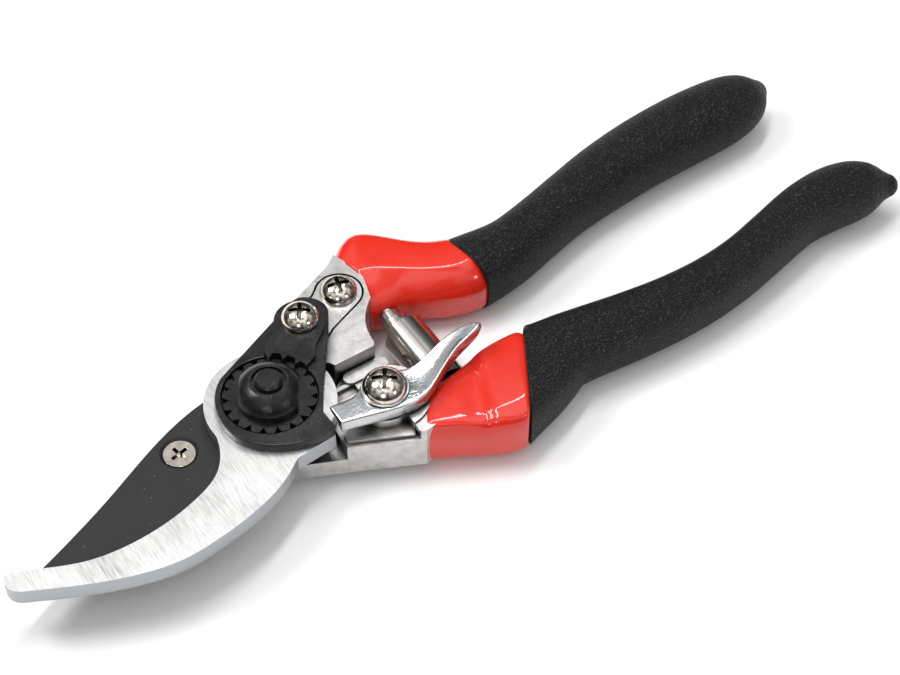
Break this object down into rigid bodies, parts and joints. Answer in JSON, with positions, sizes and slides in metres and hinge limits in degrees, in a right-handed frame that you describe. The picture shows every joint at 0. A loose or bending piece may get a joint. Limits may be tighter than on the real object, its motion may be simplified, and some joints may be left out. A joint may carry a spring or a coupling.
{
  "type": "pruning shears",
  "caption": "Bypass pruning shears, closed and locked: curved hook, coated cutting blade, toothed pivot nut, volute spring, thumb catch, dipped grips",
  "frame": {"origin": "on the pivot axis, at the underside of the pivot bolt's head, which is what the closed shears lie on", "axes": "+X runs from the pivot along the handles, +Y is towards the hook's handle, +Z is the pivot axis, up through the nut"},
  "size_m": [0.2163, 0.0638, 0.022],
  "materials": {
    "cast_aluminium": "satin die casting, faintly mottled",
    "polished_casting": "tumbled and polished",
    "coated_steel": "matt low-friction coating",
    "ground_steel": "ground, fine cross grain",
    "black_oxide": "black oxide, oiled",
    "bronze": "turned",
    "zinc_steel": "bright zinc",
    "nickel_plate": "polished nickel",
    "spring_nickel": "nickel plated strip",
    "red_dip": "glossy dipped vinyl",
    "black_grip": "matt, fine grained"
  },
  "bodies": {
    "lower": {"lower_handle": "cast_aluminium", "cutting_blade": "coated_steel", "pivot_bush": "bronze", "catch_sleeve": "zinc_steel", "catch_washer": "zinc_steel", "catch_screw": "nickel_plate", "blade_screw": "nickel_plate", "volute_spring": "spring_nickel", "lower_red_coat": "red_dip", "lower_grip": "black_grip"},
    "upper": {"upper_handle": "cast_aluminium", "hook_blade": "ground_steel", "cover_plate": "black_oxide", "lock_segment": "black_oxide", "segment_screw": "nickel_plate", "tang_screw": "nickel_plate", "pivot_bolt": "black_oxide", "pivot_nut": "black_oxide", "upper_red_coat": "red_dip", "upper_grip": "black_grip"},
    "catch": {"catch_lever": "polished_casting"}
  },
  "joints": [
    {"name": "opening", "type": "hinge", "parent": "lower", "child": "upper", "pos_m": [0, 0, 0.009], "axis": [0, 0, 1], "range_deg": [0, 28], "deforming": ["volute_spring"]},
    {"name": "catch_swing", "type": "hinge", "parent": "lower", "child": "catch", "pos_m": [0.0197, -0.0124, 0.0163], "axis": [0, 0, 1], "range_deg": [0, 24]}
  ]
}
